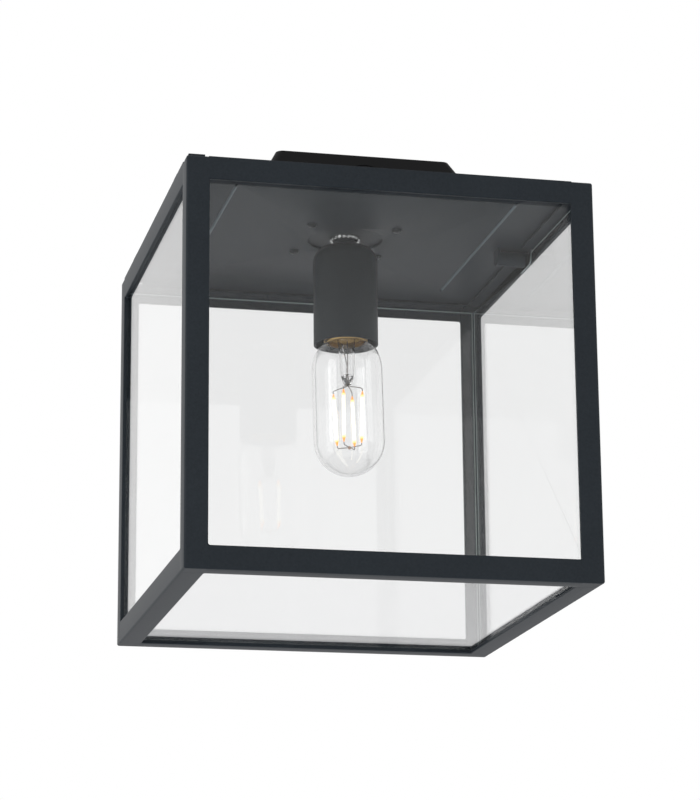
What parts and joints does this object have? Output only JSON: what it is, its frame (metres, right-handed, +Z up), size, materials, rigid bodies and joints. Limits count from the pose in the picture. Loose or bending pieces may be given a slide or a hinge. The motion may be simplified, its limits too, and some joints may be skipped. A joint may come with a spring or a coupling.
{
  "type": "ceiling lantern",
  "caption": "Square glazed porch lantern that mounts on a ceiling by a terminal box; its cage swings down on a hinge, with a clamp screw and a screw-in filament bulb.",
  "frame": {"origin": "centre of the cable entry at the face that lies on the ceiling", "axes": "+Z up into the ceiling, -Y towards the front pane, +X towards the clamp screw, hinge on the -X side"},
  "size_m": [0.252, 0.26, 0.2825],
  "materials": {
    "cage_coat": "fine matt powder coat",
    "clear_pane": "clear float glass",
    "black_plastic": "fine matt moulding",
    "black_rubber": "matt",
    "white_plastic": "satin",
    "zinc_steel": "bright zinc plate",
    "green_lead": "smooth",
    "brown_lead": "smooth",
    "blue_lead": "smooth",
    "holder_plastic": "matt anthracite",
    "white_ceramic": "glazed",
    "gold_brass": "plain",
    "soft_solder": "dull",
    "black_glass": "smooth",
    "bulb_glass": "thin clear glass",
    "filament_coat": "warm phosphor coat",
    "bright_wire": "thin drawn wire"
  },
  "bodies": {
    "roof": {"terminal_box": "black_plastic", "ceiling_gasket": "black_rubber", "cable_grommet": "black_rubber", "terminal_block": "white_plastic", "terminal_screws": "zinc_steel", "roof_plate": "cage_coat", "roof_seal": "black_rubber", "roof_screws": "zinc_steel", "roof_knuckles": "cage_coat", "earth_screw": "zinc_steel", "earth_lead": "green_lead", "live_lead": "brown_lead", "neutral_lead": "blue_lead", "nipple": "zinc_steel", "nipple_locknut": "zinc_steel", "serrated_nut": "zinc_steel", "lampholder_neck": "holder_plastic", "lampholder_cover": "holder_plastic", "lampholder_insert": "white_ceramic", "lampholder_screws": "zinc_steel", "screw_shell": "gold_brass", "centre_contact": "gold_brass", "clamp_lug": "zinc_steel", "hinge_pins": "zinc_steel"},
    "cage": {"post_front_left": "cage_coat", "post_front_right": "cage_coat", "post_back_right": "cage_coat", "post_back_left": "cage_coat", "top_rail_front": "cage_coat", "bottom_rail_front": "cage_coat", "top_rail_right": "cage_coat", "bottom_rail_right": "cage_coat", "top_rail_back": "cage_coat", "bottom_rail_back": "cage_coat", "top_rail_left": "cage_coat", "bottom_rail_left": "cage_coat", "top_corner_straps": "cage_coat", "bottom_corner_straps": "cage_coat", "pane_front": "clear_pane", "pane_back": "clear_pane", "pane_left": "clear_pane", "pane_right": "clear_pane", "pane_bottom": "clear_pane", "hinge_leaves": "cage_coat"},
    "clamp_carriage": {"clamp_washer": "zinc_steel"},
    "clamp": {"clamp_screw": "zinc_steel"},
    "bulb_carriage": {"bulb_contact": "soft_solder"},
    "bulb": {"bulb_cap": "gold_brass", "bulb_insulator": "black_glass", "bulb_glass": "bulb_glass", "bulb_stem": "bulb_glass", "filament_sticks": "filament_coat", "filament_wires": "bright_wire"}
  },
  "joints": [
    {"name": "cage_hinge", "type": "hinge", "parent": "roof", "child": "cage", "pos_m": [-0.1195, 0, -0.0319], "axis": [0, 1, 0], "range_deg": [0, 90]},
    {"name": "clamp_travel", "type": "slide", "parent": "roof", "child": "clamp_carriage", "axis": [1, 0, 0], "range_m": [0, 0.004]},
    {"name": "clamp_turn", "type": "hinge", "parent": "clamp_carriage", "child": "clamp", "pos_m": [0.126, 0, -0.0435], "axis": [1, 0, 0], "range_deg": [0, 2060]},
    {"name": "bulb_travel", "type": "slide", "parent": "roof", "child": "bulb_carriage", "axis": [0, 0, -1], "range_m": [0, 0.026]},
    {"name": "bulb_turn", "type": "hinge", "parent": "bulb_carriage", "child": "bulb", "pos_m": [0, 0, -0.09], "axis": [0, 0, 1], "range_deg": [-2600, 0]}
  ],
  "couplings": [
    {"joint": "clamp_turn", "follows": "clamp_travel", "rad_per_m": 8976},
    {"joint": "bulb_turn", "follows": "bulb_travel", "rad_per_m": -1730.9}
  ]
}
